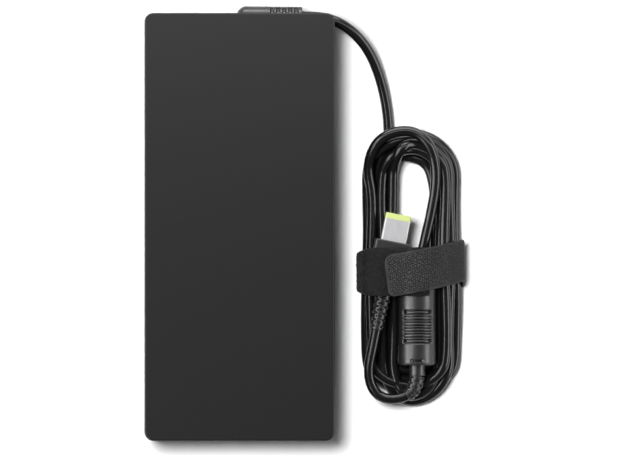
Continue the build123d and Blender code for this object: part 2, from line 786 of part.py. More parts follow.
def bundle_outline(grow, right_grow):
    """Outline, in X and Z, of what the strap goes round, grown by one distance
    over the plug and the bead and by another down the right side."""
    bottom = BAND_THICKNESS + 2.7
    rounds = [
        (53.2, bottom, 2.7 + grow),
        (56.2, 15.9, 3.1 + grow),
        (69.8, 15.9, 3.1 + grow),
        (BEAD_X, BEAD_Z, BEAD_RADIUS + 0.3 + grow),
        (91.0, 7.6, 2.7 + right_grow),
        (91.0, bottom, 2.7 + right_grow),
    ]
    return make_hull([edge for x, z, radius in rounds for edge in (Pos(x, z) * Circle(radius)).edges()])


def across_strap(section, margin=0.0):
    """A section in X and Z, drawn out over the strap's width and a margin each side."""
    plane = Plane(origin=(0, STRAP_Y[1] + margin, 0), x_dir=(1, 0, 0), z_dir=(0, -1, 0))
    return extrude(plane * section, STRAP_Y[1] - STRAP_Y[0] + 2 * margin)


def strap_layer(inner, outer):
    """A layer of the strap between two outlines, each given by its two growths."""
    return across_strap(bundle_outline(*outer) - bundle_outline(*inner))


def strap_squeeze():
    """What the strap presses the hank out of, with a margin round the strap."""
    margin = STRAP_GAP
    across = block(
        (CASE_WIDTH / 2, FAR),
        (STRAP_Y[0] - margin, STRAP_Y[1] + margin),
        (-1, CASE_HEIGHT),
    )
    return across - across_strap(bundle_outline(-margin, -margin), 2 * margin)


def strap_cut(left, low):
    """The space above a height and right of an edge, across the strap's whole width."""
    return block((left, FAR), (-FAR, FAR), (low, FAR))


def make_strap_band():
    """From under the flap, left over the plug, down, and back under the hank."""
    layer = strap_layer((0, 0), (BAND_THICKNESS, BAND_THICKNESS))
    return layer - strap_cut(BAND_END_X, HINGE[1] - STRAP_GAP / 2)


def make_strap_flap():
    """The free end: from the right side, over the top, to its end."""
    inner = BAND_THICKNESS + STRAP_GAP
    layer = strap_layer((inner, 0), (inner + FLAP_THICKNESS, FLAP_THICKNESS))
    return layer & strap_cut(FLAP_END_X, HINGE[1] + STRAP_GAP / 2)


# --- build and export -------------------------------------------------------

PARTS = {
    "bottom_cover": make_bottom_cover(),
    "top_cover": make_top_cover(),
    "rating_label": make_rating_label(),
    "ac_inlet_housing": make_inlet_housing(),
    "circuit_board": make_circuit_board(),
    "fuse": make_fuse(),
    "x_capacitor": make_x_capacitor(),
    "y_capacitors": make_y_capacitors(),
    "common_mode_choke_core": make_choke_core(),
    "common_mode_choke_windings": make_choke_windings(),
    "bridge_rectifier": make_bridge_rectifier(),
    "pfc_choke_core": make_pfc_choke_core(),
    "pfc_choke_winding": make_pfc_choke_winding(),
    "bulk_capacitors": make_bulk_capacitors(),
    "primary_heatsink": make_primary_heatsink(),
    "power_transistors": make_power_transistors(),
    "transformer_core": make_transformer_core(),
    "transformer_winding": make_transformer_winding(),
    "secondary_heatsink": make_secondary_heatsink(),
    "rectifier_transistors": make_rectifier_transistors(),
    "output_capacitors": make_output_capacitors(),
    "control_board": make_control_board(),
    "top_heat_spreader": make_heat_spreader(TOP_SPREADER_Z),
    "bottom_heat_spreader": make_heat_spreader(BOTTOM_SPREADER_Z),
    "insulation_sheet": make_insulation_sheet(),
    "inlet_wires": make_inlet_wires(),
    "output_leads": make_output_leads(),
    "cord_strain_relief": make_cord_strain_relief(),
    "cord_lead": cord_tube("cord_lead", LEAD_POINTS),
    "cord_hank": make_cord_hank(),
    "cord_crossing": cord_tube("cord_crossing", CROSSING_POINTS),
    "bead_core": make_bead_core(),
    "bead_cover": make_bead_cover(),
    "bead_strain_relief": make_bead_strain_relief(),
    "plug_overmould": make_plug_overmould(),
    "plug_shell": make_plug_shell(),
    "plug_tip": make_plug_tip(),
    "plug_centre_pin": make_plug_centre_pin(),
    "plug_strain_relief": make_plug_strain_relief(),
    "strap_band": make_strap_band(),
    "strap_flap": make_strap_flap(),
}
for pin_name, pin_x, pin_z in pin_places():
    PARTS[pin_name] = make_inlet_pin(pin_x, pin_z)

os.makedirs("parts", exist_ok=True)
for node, shape in PARTS.items():
    export_step(shape, f"parts/{node}.step")
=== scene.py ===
"""Laptop power adapter: the looks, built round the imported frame. Metres, +Z up."""
import json
import math

import bpy
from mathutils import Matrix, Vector, noise


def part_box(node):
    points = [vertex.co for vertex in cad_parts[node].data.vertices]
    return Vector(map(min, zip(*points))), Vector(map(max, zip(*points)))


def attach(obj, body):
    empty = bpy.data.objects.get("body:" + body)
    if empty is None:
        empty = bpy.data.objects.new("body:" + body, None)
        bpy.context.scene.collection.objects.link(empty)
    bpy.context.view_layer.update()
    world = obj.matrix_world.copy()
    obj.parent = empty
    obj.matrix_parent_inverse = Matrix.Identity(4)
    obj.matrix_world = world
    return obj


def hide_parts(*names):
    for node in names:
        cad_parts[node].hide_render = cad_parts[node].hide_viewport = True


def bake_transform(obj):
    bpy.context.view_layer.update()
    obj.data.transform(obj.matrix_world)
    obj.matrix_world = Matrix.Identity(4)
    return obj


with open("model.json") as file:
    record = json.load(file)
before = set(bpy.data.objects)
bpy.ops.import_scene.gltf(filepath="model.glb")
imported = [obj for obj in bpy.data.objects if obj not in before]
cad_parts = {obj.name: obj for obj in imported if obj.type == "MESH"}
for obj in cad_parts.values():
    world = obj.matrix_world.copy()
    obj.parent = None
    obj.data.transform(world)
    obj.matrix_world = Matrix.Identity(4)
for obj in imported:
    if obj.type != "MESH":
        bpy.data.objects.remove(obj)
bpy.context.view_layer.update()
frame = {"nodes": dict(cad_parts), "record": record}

MM = 0.001


def eased(share):
    """Goes smoothly from 0 to 1, level at both ends."""
    return share * share * (3 - 2 * share)


# --- camera, light and floor --------------------------------------------------

VIEW_WIDTH = 0.2624
VIEW_CENTRE = (0.0305, -0.0013)
CAMERA_DISTANCE = 3.0
SENSOR_WIDTH = 36.0
VIEW_DEPTH = 20.0
FLOOR_GAP = 0.0002
FLOOR_HALF = 4.0
ROOM_STRENGTH = 0.13
LIGHT_AIM = (0.03, 0.0, 0.0)

# Each light's name, centre, aim, size in metres, power in watts, and whether it only
# makes highlights.
LIGHTS = [
    ("overhead_softbox", (-0.26, 0.18, 1.4), LIGHT_AIM, (0.42, 0.42), 26.0, False),
    ("sheen_strip", (0.0, 0.165, 0.33), (0.0, 0.13, 0.0), (0.7, 0.06), 0.98, True),
    ("left_wall", (-1.0, 0.0, 0.5), LIGHT_AIM, (1.3, 0.62), 19.0, True),
    ("right_wall", (1.05, 0.0, 0.5), LIGHT_AIM, (1.3, 0.44), 11.5, True),
    ("left_strip", (-0.80, 0.0, 1.15), LIGHT_AIM, (1.3, 0.24), 9.0, True),
    ("end_wall", (0.03, 1.0, 0.4), LIGHT_AIM, (1.3, 0.5), 16.0, True),
]


def add_camera():
    """Looks straight down from far off, so upright walls hardly show."""
    data = bpy.data.cameras.new("camera")
    data.sensor_width = SENSOR_WIDTH
    data.lens = SENSOR_WIDTH * CAMERA_DISTANCE / VIEW_WIDTH
    data.clip_end = VIEW_DEPTH
    camera = bpy.data.objects.new("camera", data)
    case_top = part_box("top_cover")[1].z
    camera.location = (*VIEW_CENTRE, case_top + CAMERA_DISTANCE)
    bpy.context.scene.collection.objects.link(camera)
    bpy.context.scene.camera = camera


def add_softbox(name, centre, aim, size, power, gloss_only):
    """A rectangular area light that faces a point, and that the camera doesn't see.
    gloss_only is True for one that only makes highlights, and False for one that makes
    none."""
    data = bpy.data.lights.new(name, "AREA")
    data.shape = "RECTANGLE"
    data.size, data.size_y = size
    data.energy = power
    light = bpy.data.objects.new(name, data)
    light.location = centre
    light.rotation_euler = (Vector(aim) - Vector(centre)).to_track_quat("-Z", "Y").to_euler()
    light.visible_camera = False
    light.visible_diffuse = not gloss_only
    light.visible_glossy = gloss_only
    bpy.context.scene.collection.objects.link(light)


def add_lights():
    """A wide box up and to the left casts the shadows.  A wall of light on each side
    and one past the cord end make the long highlights, with a strip that reaches the
    cord behind the case.  A low strip over the cord end makes the case's sheen, and
    the room fills the rest."""
    for light in LIGHTS:
        add_softbox(*light)
    world = bpy.data.worlds.new("room")
    world.use_nodes = True
    background = world.node_tree.nodes["Background"]
    background.inputs["Color"].default_value = (1.0, 1.0, 1.0, 1.0)
    background.inputs["Strength"].default_value = ROOM_STRENGTH
    bpy.context.scene.world = world
    bpy.context.scene.view_settings.view_transform = "Standard"


# --- materials ----------------------------------------------------------------

NOISE_SPAN = (0.3, 0.7)
# Painted shade: recess depths in mm over which slots and grooves darken.
PAINTED_SHADE_SPAN = (0.3, 0.9)
# Painted highlight: relief heights in mm over which the strap's raised tips lighten.
PAINTED_TIP_HIGHLIGHT_SPAN = (0.08, 0.32)
WHITE = (1.0, 1.0, 1.0)
# The painted shade's colour at the bottom of the deepest recesses.
PAINTED_RECESS_SHADE = (0.04, 0.04, 0.04)
WORN_TINT = (0.6, 0.6, 0.6)
CASE_COLOUR = (0.0072, 0.0072, 0.0074)
JACKET_COLOUR = (0.0048, 0.0048, 0.0050)


class Shader:
    """A node material round one Principled shader, with helpers for its inputs."""

    def __init__(self, name):
        self.material = bpy.data.materials.new(name)
        self.material.use_nodes = True
        self.tree = self.material.node_tree
        self.bsdf = self.tree.nodes["Principled BSDF"]
        self.place = self.tree.nodes.new("ShaderNodeTexCoord").outputs["Object"]

    def set(self, **values):
        """Sets plain values on the shader."""
        for key, value in values.items():
            self.bsdf.inputs[key.replace("_", " ")].default_value = value

    def node(self, kind, links=(), **values):
        """A new node, with its inputs linked or set, and its own properties set."""
        made = self.tree.nodes.new("ShaderNode" + kind)
        for key, value in values.items():
            setattr(made, key, value)
        for socket, source in dict(links).items():
            if hasattr(source, "is_output"):
                self.tree.links.new(source, made.inputs[socket])
            else:
                made.inputs[socket].default_value = source
        return made

    def noise(self, scale, detail=3.0, roughness=0.5, stretch=(1.0, 1.0, 1.0)):
        """A noise pattern's value over the object."""
        place = self.place
        if stretch != (1.0, 1.0, 1.0):
            place = self.node("Mapping", {"Vector": self.place, "Scale": stretch}).outputs[0]
        made = self.node("TexNoise", {
            "Vector": place, "Scale": scale, "Detail": detail, "Roughness": roughness})
        return made.outputs["Fac"]

    def between(self, factor, low, high, span=NOISE_SPAN):
        """Changes from low to high as the factor goes over its span."""
        made = self.node("MapRange", {
            "Value": factor, "From Min": span[0], "From Max": span[1],
            "To Min": low, "To Max": high})
        return made.outputs["Result"]

    def mix(self, factor, first, second):
        """A colour between two, by a factor."""
        made = self.node("Mix", data_type="RGBA")
        self.tree.links.new(factor, made.inputs["Factor"])
        made.inputs["A"].default_value = (*first, 1.0)
        made.inputs["B"].default_value = (*second, 1.0)
        return made.outputs["Result"]

    def multiply(self, first, second):
        """The product of two colours."""
        made = self.node("Mix", data_type="RGBA", blend_type="MULTIPLY")
        made.inputs["Factor"].default_value = 1.0
        self.tree.links.new(first, made.inputs["A"])
        self.tree.links.new(second, made.inputs["B"])
        return made.outputs["Result"]

    def link(self, socket, source):
        """Feeds a source into one of the shader's inputs."""
        self.tree.links.new(source, self.bsdf.inputs[socket])

    def bump(self, heights):
        """Stacks bumps; each is (height source, distance in metres, strength)."""
        normal = None
        for source, distance, strength in heights:
            links = {"Height": source, "Distance": distance, "Strength": strength}
            if normal is not None:
                links["Normal"] = normal
            normal = self.node("Bump", links).outputs["Normal"]
        self.link("Normal", normal)


def shade(colour, factor):
    """A colour made darker or lighter."""
    return tuple(min(channel * factor, 1.0) for channel in colour)


def moulded(name, colour, roughness, grain=2600.0, grain_height=0.00002, mottle=0.12,
            specular=0.5, spread=0.05):
    """Moulded plastic or rubber: a fine skin texture, slight mottling, uneven gloss,
    and painted shade that darkens the floor of slots and grooves the deeper they are."""
    made = Shader(name)
    made.set(Specular_IOR_Level=specular)
    broad = made.noise(scale=38.0, detail=4.0)
    mottled = made.mix(broad, shade(colour, 1 - mottle), shade(colour, 1 + mottle))
    # Painted shade: the deeper a vertex lies in a recess, the darker its colour.
    depth = made.node("Attribute", attribute_name="recess_mm").outputs["Fac"]
    shaded = made.between(depth, 0.0, 1.0, PAINTED_SHADE_SPAN)
    made.link("Base Color", made.multiply(mottled, made.mix(shaded, WHITE, PAINTED_RECESS_SHADE)))
    made.link("Roughness", made.between(made.noise(scale=160.0), roughness - spread, roughness + spread))
    made.bump([(made.noise(grain, detail=2.0), grain_height, 0.5)])
    return made.material


def metal(name, colour, roughness, stretch=(1.0, 1.0, 1.0), grain=3000.0, metallic=1.0):
    """Bare or plated metal with fine lines along its working direction."""
    made = Shader(name)
    made.set(Metallic=metallic)
    lines = made.noise(grain, detail=2.0, stretch=stretch)
    made.link("Base Color", made.mix(lines, shade(colour, 0.94), shade(colour, 1.05)))
    made.link("Roughness", made.between(lines, roughness - 0.05, roughness + 0.06))
    made.bump([(lines, 0.000008, 0.35)])
    return made.material


def case_plastic():
    """Black spark-textured plastic with a broad soft sheen."""
    made = Shader("case_plastic")
    made.set(Specular_IOR_Level=0.25)
    broad = made.noise(scale=9.0, detail=5.0, roughness=0.6)
    colour = CASE_COLOUR
    made.link("Base Color", made.mix(broad, shade(colour, 0.94), shade(colour, 1.06)))
    made.link("Roughness", made.between(made.noise(scale=2600.0, detail=2.0), 0.44, 0.5))
    spark = made.noise(scale=3400.0, detail=3.0, roughness=0.7)
    made.bump([(spark, 0.00002, 0.3)])
    return made.material


def cord_jacket():
    """Smooth black jacket, with the faint waviness of extrusion."""
    made = Shader("cord_jacket")
    made.set(Specular_IOR_Level=0.4)
    colour = JACKET_COLOUR
    made.link("Base Color", made.mix(made.noise(scale=90.0), shade(colour, 0.85), shade(colour, 1.2)))
    made.link("Roughness", made.between(made.noise(scale=500.0, detail=2.0), 0.21, 0.25))
    made.bump([(made.noise(scale=160.0), 0.00004, 0.1)])
    return made.material


def strap_cloth(name, base, tip, weave, specular, roughness):
    """Strap fabric: a dark backing with a painted highlight that lightens the tips
    wherever the pile, the hooks or the hem stand out, and a fine weave over both."""
    made = Shader(name)
    made.set(Specular_IOR_Level=specular, Sheen_Weight=0.05, Sheen_Roughness=0.45)
    # Painted highlight: the higher the relief, the nearer the colour is to the tip colour.
    height = made.node("Attribute", attribute_name="relief_mm").outputs["Fac"]
    raised = made.between(height, 0.0, 1.0, PAINTED_TIP_HIGHLIGHT_SPAN)
    fine = made.noise(weave, detail=3.0, roughness=0.7)
    colour = made.mix(raised, base, tip)
    worn = made.mix(fine, WORN_TINT, WHITE)
    made.link("Base Color", made.multiply(colour, worn))
    made.link("Roughness", made.between(made.noise(scale=900.0), roughness - 0.07, roughness + 0.07))
    made.bump([(fine, 0.00006, 0.5)])
    return made.material


def slot_materials():
    """One material for each of the record's slots."""
    along = (1.0, 0.04, 1.0)
    return {
        "case_plastic": case_plastic(),
        "label_film": moulded("label_film", (0.05, 0.05, 0.053), 0.42, grain=5200.0),
        "inlet_plastic": moulded("inlet_plastic", (0.014, 0.014, 0.015), 0.36),
        "plated_pin": metal("plated_pin", (0.72, 0.7, 0.66), 0.25, along),
        "board_laminate": moulded("board_laminate", (0.03, 0.16, 0.07), 0.4, mottle=0.3),
        "fuse_ceramic": moulded("fuse_ceramic", (0.74, 0.72, 0.66), 0.5),
        "capacitor_box": moulded("capacitor_box", (0.7, 0.52, 0.08), 0.45),
        "disc_ceramic": moulded("disc_ceramic", (0.06, 0.2, 0.5), 0.35, grain=900.0),
        "ferrite": moulded("ferrite", (0.045, 0.045, 0.048), 0.5, grain=1500.0),
        "copper_winding": metal("copper_winding", (0.74, 0.34, 0.16), 0.32, (1.0, 1.0, 9.0), 700.0),
        "component_epoxy": moulded("component_epoxy", (0.022, 0.022, 0.022), 0.55),
        "capacitor_sleeve": moulded("capacitor_sleeve", (0.03, 0.03, 0.07), 0.3),
        "heatsink_aluminium": metal("heatsink_aluminium", (0.78, 0.78, 0.79), 0.4, along),
        "insulation_film": moulded("insulation_film", (0.5, 0.43, 0.3), 0.7, grain=1200.0),
        "wire_insulation": moulded("wire_insulation", (0.3, 0.03, 0.025), 0.35),
        "relief_rubber": moulded("relief_rubber", (0.009, 0.009, 0.0093), 0.34, specular=0.6),
        "cord_jacket": cord_jacket(),
        "bead_plastic": moulded("bead_plastic", (0.012, 0.012, 0.0123), 0.38, grain=2400.0,
                                grain_height=0.00003, specular=0.6),
        "plug_plastic": moulded("plug_plastic", (0.009, 0.009, 0.0093), 0.42),
        "plug_metal": metal("plug_metal", (0.5, 0.5, 0.51), 0.4, (1.0, 0.15, 1.0), metallic=0.45),
        "tip_plastic": moulded("tip_plastic", (0.58, 0.66, 0.24), 0.38, mottle=0.05),
        # Each strap's second colour is the painted highlight on its raised tips.
        "strap_loop": strap_cloth("strap_loop", (0.006, 0.006, 0.0062), (0.03, 0.03, 0.0305),
                                  2400.0, 0.2, 0.85),
        "strap_hook": strap_cloth("strap_hook", (0.013, 0.013, 0.0134), (0.12, 0.12, 0.122),
                                  3200.0, 0.2, 0.72),
    }


def paint(obj, material):
    """Gives an object one material, in place of any that it has."""
    obj.data.materials.clear()
    obj.data.materials.append(material)


def paint_cad_nodes(materials):
    """Gives every CAD node its slot's material."""
    for entry in frame["record"]["subparts"]:
        paint(frame["nodes"][entry["node"]], materials[entry["material_slot"]])


def add_floor():
    """A wide, plain, pale floor."""
    mesh = bpy.data.meshes.new("floor")
    corners = [(-1, -1), (1, -1), (1, 1), (-1, 1)]
    places = [(x * FLOOR_HALF, y * FLOOR_HALF, -FLOOR_GAP) for x, y in corners]
    mesh.from_pydata(places, [], [(0, 1, 2, 3)])
    floor = bpy.data.objects.new("floor", mesh)
    bpy.context.scene.collection.objects.link(floor)
    made = Shader("floor")
    made.set(Roughness=0.9, Specular_IOR_Level=0.0)
    made.link("Base Color", made.mix(made.noise(scale=3.0), (0.93, 0.93, 0.93), (0.95, 0.95, 0.95)))
    paint(floor, made.material)


# --- cord ---------------------------------------------------------------------

CORD_DIAMETER = 0.0044
CORD_RADIUS = CORD_DIAMETER / 2

# The lead, from the strain relief to the hank.
LEAD = [
    (0.0265, 0.0889, 0.0127),
    (0.0342, 0.0889, 0.0127),
    (0.0420, 0.0865, 0.0122),
    (0.0490, 0.0815, 0.0104),
    (0.0548, 0.0742, 0.0074),
    (0.0589, 0.0646, 0.0044),
    (0.0615, 0.0546, 0.0026),
    (0.0628, 0.0454, 0.00225),
    (0.0630, 0.0376, 0.00225),
]

# The bend under the hank's top turns, into the innermost turn's right side.
ENTRY = [
    (0.0641, 0.0328, 0.00225),
    (0.0674, 0.0300, 0.00225),
    (0.0722, 0.0296, 0.00225),
    (0.0772, 0.0281, 0.00225),
    (0.0808, 0.0240, 0.00225),
]

# The last turn's way up to its arch, before the crossing's first point.
LAST_RISE = [
    (0.0541, 0.0235, 0.0075),
    (0.0549, 0.0296, 0.0105),
    (0.0577, 0.0355, 0.0130),
]

# The last turn's arch, its slant across the opening, the bead and the tail.
CROSSING = [
    (0.0628, 0.0394, 0.0138),
    (0.0692, 0.0408, 0.0130),
    (0.0752, 0.0396, 0.0134),
    (0.0802, 0.0346, 0.0142),
    (0.0827, 0.0272, 0.0126),
    (0.0829, 0.0174, 0.0113),
    (0.0808, 0.0054, 0.0113),
    (0.0778, -0.0074, 0.0116),
    (0.0755, -0.0180, 0.0119),
    (0.0750, -0.0256, 0.0120),
    (0.0750, -0.0614, 0.0120),
    (0.0746, -0.0660, 0.0120),
    (0.0729, -0.0697, 0.0119),
    (0.0696, -0.0719, 0.0117),
    (0.0657, -0.0728, 0.0115),
    (0.0613, -0.0726, 0.0113),
    (0.0574, -0.0704, 0.0112),
    (0.0549, -0.0656, 0.0113),
    (0.0544, -0.0590, 0.0129),
    (0.0561, -0.0513, 0.0142),
    (0.05763, -0.04351, 0.0142),
]

# Where each turn lies: cord widths in from the hank's edge, and its layer.
TURN_RIGHT = [(2.0, 0), (1.0, 0), (0.0, 0), (0.55, 1), (1.5, 1), (1.0, 2)]
TURN_BOTTOM = [(3.0, 0), (2.0, 0), (1.0, 0), (0.0, 0), (0.5, 1), (1.5, 1)]
TURN_LEFT = [(2.0, 0), (1.0, 0), (0.0, 0), (1.5, 1), (2.5, 1), (0.45, 1)]
TURN_TOP = [(2.0, 0), (1.0, 0), (0.0, 0), (0.5, 1), (1.5, 1), (1.0, 2)]
LAYER_HEIGHT = 0.0038
FLOOR_LIFT = 0.00005
ARC_STEPS = 5
SIDE_STEPS = 5
LEAD_HUMP_ANGLE = 127.0
LEAD_HUMP_SPREAD = 50.0
STRAP_LIFT = 0.0016
STRAP_LIFT_REACH = 0.012
SIDE_DRIFT = 0.0005
DRIFT_PHASE = 1.7


def layer_z(layer):
    """The height of the cord's middle in one of the hank's layers."""
    return CORD_RADIUS + FLOOR_LIFT + layer * LAYER_HEIGHT


def lead_hump(angle):
    """How far the turns rise, at an angle round the hank's top, to pass over the lead."""
    away = abs(angle - LEAD_HUMP_ANGLE) / LEAD_HUMP_SPREAD
    return CORD_DIAMETER * math.cos(away * math.pi / 2) ** 2 if away < 1 else 0.0


def strap_lift(y):
    """How far the turns rise where the strap passes under them."""
    low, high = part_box("strap_band")
    away = max(low.y - y, y - high.y, 0.0) / STRAP_LIFT_REACH
    return STRAP_LIFT * (1 - away) ** 2 * (1 + 2 * away) if away < 1 else 0.0


def hank_turn(index):
    """One clockwise turn, from the top of its right side to the top of its left side,
    and over the hank's top to the next turn."""
    low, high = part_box("cord_hank")
    half = (high.x - low.x) / 2
    centre_x = (low.x + high.x) / 2
    top_y, bottom_y = high.y - half, low.y + half
    # The spline runs inside points set round an arc, so they are set this much wider.
    swell = 1 / (0.75 + 0.25 * math.cos(math.pi / 2 / ARC_STEPS))

    def reach(place):
        """How far the cord's middle lies from the hank's, at a place."""
        return half - CORD_RADIUS - place[0] * CORD_DIAMETER

    def arc(start, from_place, to_place, centre_y, across_first):
        """A quarter turn between two places in the hank."""
        points = []
        for step in range(ARC_STEPS):
            share = (step + 0.5) / ARC_STEPS
            angle = math.radians(start - 90 * share)
            across, along = (from_place, to_place) if across_first else (to_place, from_place)
            x = centre_x + swell * reach(across) * math.cos(angle)
            y = centre_y + swell * reach(along) * math.sin(angle)
            ease = eased(share)
            z = layer_z(from_place[1]) * (1 - ease) + layer_z(to_place[1]) * ease
            hump = lead_hump(math.degrees(angle)) if centre_y == top_y else 0.0
            points.append((x, y, z + hump))
        return points

    def side(place, sign, from_y, to_y):
        """A run along one side, with a slight drift."""
        points = []
        for step in range(SIDE_STEPS):
            share = (step + 0.5) / SIDE_STEPS
            y = from_y + (to_y - from_y) * share
            drift = SIDE_DRIFT * math.sin(share * math.pi * 2 + index * DRIFT_PHASE)
            x = centre_x + sign * reach(place) + drift
            points.append((x, y, layer_z(place[1]) + strap_lift(y)))
        return points

    right, bottom, left = TURN_RIGHT[index], TURN_BOTTOM[index], TURN_LEFT[index]
    points = [] if index == 0 else arc(90, TURN_TOP[index], right, top_y, False)
    points += side(right, 1, top_y, bottom_y)
    points += arc(0, right, bottom, bottom_y, True)
    points += arc(-90, bottom, left, bottom_y, False)
    points += side(left, -1, bottom_y, top_y)
    if index + 1 < len(TURN_TOP):
        points += arc(180, left, TURN_TOP[index + 1], top_y, True)
    return points


def cord_points():
    """The whole route: the lead, the way in, every turn, and the crossing to the plug."""
    points = LEAD + ENTRY
    for index in range(len(TURN_RIGHT)):
        points += hank_turn(index)
    return points + LAST_RISE + CROSSING


def fill_spline(data):
    """Lays the cord's route into a curve as one smooth spline."""
    data.dimensions = "3D"
    spline = data.splines.new("NURBS")
    points = cord_points()
    spline.points.add(len(points) - 1)
    for point, place in zip(spline.points, points):
        point.co = (*place, 1.0)
    spline.order_u = 3
    spline.use_endpoint_u = True


def add_cord(materials):
    """One continuous cord from the strain relief to the plug."""
    data = bpy.data.curves.new("output_cord", "CURVE")
    data.bevel_depth = CORD_RADIUS
    data.bevel_resolution = 6
    data.resolution_u = 6
    data.use_fill_caps = True
    fill_spline(data)
    cord = bpy.data.objects.new("output_cord", data)
    bpy.context.scene.collection.objects.link(cord)
    paint(cord, materials["cord_jacket"])
    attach(cord, "adapter")
    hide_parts("cord_lead", "cord_hank", "cord_crossing")
    return cord


# --- bead cover and strain reliefs ----------------------------------------------

RING_POINTS = 132
CORD_GAP = 0.00008

RIB_COUNT = 6
RIB_PITCH = 0.00244
RIB_HALF = 0.00046
RIB_GROOVE_END = 0.00092
RIB_DEPTH = 0.0011
RIB_REACH = 0.0059
RIB_POCKET = 0.0012
RIB_POCKET_DEPTH = 0.0022
RIB_FIRST_DOWN = 0.0107
RIB_SOFT = 0.00018
RIB_END_SOFT = 0.0004
RIB_CROWN = 0.00012
RIB_GAP_DROP = 0.00016
POCKET_SOFT = 0.0002
RIB_BAND_MIDDLE = 0.0061
RIB_BAND_REACH = 0.0085
BEAD_EDGE = 0.0012
BEAD_NECK_LENGTH = 0.0044
BEAD_NECK_RADIUS = 0.0034
BEAD_SLOT_UP = 0.0019
BEAD_SLOT_HALF = 0.0026
BEAD_SLOT_DEPTH = 0.0015
BEAD_SLOT_THIN = 0.0005
BEAD_SLOT_FLARE = 0.0003
BEAD_FLARE_INSET = 0.0007
BEAD_FLARE_SOFT = 0.0004
BEAD_SLOT_MARGIN = 0.0006
BEAD_SLOT_END_SOFT = 0.0003
BEAD_SLOT_SOFT = 0.0002
BEAD_END_REACH = 0.0032
FINE_STEP = 0.0001
COARSE_STEP = 0.0005
LEDGE_STEP = 0.00001

SLEEVE_ROW = 0.0014
SLEEVE_SLOT = 0.00062
SLEEVE_DEPTH = 0.001
SLEEVE_STEP = 0.00014
SLEEVE_OPEN = 0.44
SLEEVE_OPEN_SOFT = 0.12
SLEEVE_SLOT_SOFT = 0.00022
END_BEVEL = 0.0003
END_BEVEL_AT = 0.0002
END_BEVEL_SOFT = 0.0004


def step_up(value, edge, soft):
    """0 below an edge and 1 above it, with a smooth change as wide as soft."""
    share = min(max((value - edge) / soft + 0.5, 0.0), 1.0)
    return eased(share)


def smooth_mesh(name, vertices, faces, attribute, values):
    """A smooth-shaded mesh object that keeps one number for each vertex."""
    mesh = bpy.data.meshes.new(name)
    mesh.from_pydata(vertices, [], faces)
    mesh.update()
    kept = mesh.attributes.new(attribute, "FLOAT", "POINT")
    kept.data.foreach_set("value", values)
    mesh.polygons.foreach_set("use_smooth", [True] * len(mesh.polygons))
    made = bpy.data.objects.new(name, mesh)
    bpy.context.scene.collection.objects.link(made)
    return made


def ring_tube(name, shells):
    """A mesh of closed tubes.  Each shell is (frames, outer, inner): frames are
    (centre, across, up, distance), outer(distance, angle) is the radius and how deep a
    recess it is in, with the angle counted from up, and inner is the bore's radius."""
    angles = [2 * math.pi * index / RING_POINTS for index in range(RING_POINTS)]
    vertices = []
    recesses = []
    faces = []
    for frames, outer, inner in shells:
        first = len(vertices)
        for centre, across, up, distance in frames:
            for angle in angles:
                out = across * math.sin(angle) + up * math.cos(angle)
                radius, recess = outer(distance, angle)
                vertices.append(centre + out * radius)
                # Each vertex keeps its recess depth for the painted shade in the materials.
                recesses.append(recess / MM)
        for centre, across, up, distance in reversed(frames):
            for angle in angles:
                out = across * math.sin(angle) + up * math.cos(angle)
                vertices.append(centre + out * inner)
                recesses.append(0.0)
        rings = 2 * len(frames)
        for ring in range(rings):
            low = first + ring * RING_POINTS
            high = first + (ring + 1) % rings * RING_POINTS
            for index in range(RING_POINTS):
                beside = (index + 1) % RING_POINTS
                faces.append((low + index, low + beside, high + beside, high + index))
    return smooth_mesh(name, vertices, faces, "recess_mm", recesses)


def line_frames(points):
    """Frames for ring_tube along a line of points, kept upright."""
    frames = []
    distance = 0.0
    for index, point in enumerate(points):
        before, after = points[max(index - 1, 0)], points[min(index + 1, len(points) - 1)]
        along = (after - before).normalized()
        across = along.cross(Vector((0, 0, 1))).normalized()
        if index:
            distance += (point - points[index - 1]).length
        frames.append((point, across, across.cross(along), distance))
    return frames


def bead_radius(distance, angle, length, radius):
    """The bead cover's radius and recess, distance down from its upper end."""
    body = length - BEAD_NECK_LENGTH
    if distance > body:
        return BEAD_NECK_RADIUS, 0.0
    from_edge = min(distance, body - distance)
    size = radius
    if from_edge < BEAD_EDGE:
        size -= BEAD_EDGE - math.sqrt(BEAD_EDGE ** 2 - (BEAD_EDGE - from_edge) ** 2)
    recess = 0.0
    upper = math.cos(angle) > 0
    reach = abs(math.sin(angle)) * radius
    row = round((distance - RIB_FIRST_DOWN) / RIB_PITCH)
    if upper and 0 <= row < RIB_COUNT:
        away = abs(distance - RIB_FIRST_DOWN - row * RIB_PITCH)
        inside = 1 - step_up(reach, RIB_REACH, RIB_END_SOFT)
        groove = step_up(away, RIB_HALF, RIB_SOFT) * (1 - step_up(away, RIB_GROOVE_END, RIB_SOFT))
        recess = inside * groove * RIB_DEPTH
        if row in (0, RIB_COUNT - 1):
            pocket = step_up(reach, RIB_REACH - RIB_POCKET, POCKET_SOFT)
            pocket *= 1 - step_up(away, RIB_HALF + POCKET_SOFT, POCKET_SOFT)
            recess = max(recess, inside * pocket * RIB_POCKET_DEPTH)
        crown = RIB_CROWN * (away / RIB_HALF) ** 2 if away < RIB_HALF else RIB_GAP_DROP
        size -= inside * (1 - groove) * crown
    from_slot = abs(distance - body + BEAD_SLOT_UP)
    flare = step_up(reach, BEAD_SLOT_HALF - BEAD_FLARE_INSET, BEAD_FLARE_SOFT)
    half = BEAD_SLOT_THIN + BEAD_SLOT_FLARE * flare
    if upper and reach < BEAD_SLOT_HALF + BEAD_SLOT_MARGIN:
        ends = 1 - step_up(reach, BEAD_SLOT_HALF, BEAD_SLOT_END_SOFT)
        slot = ends * (1 - step_up(from_slot, half, BEAD_SLOT_SOFT)) * BEAD_SLOT_DEPTH
        recess = max(recess, slot)
    return size - recess, recess


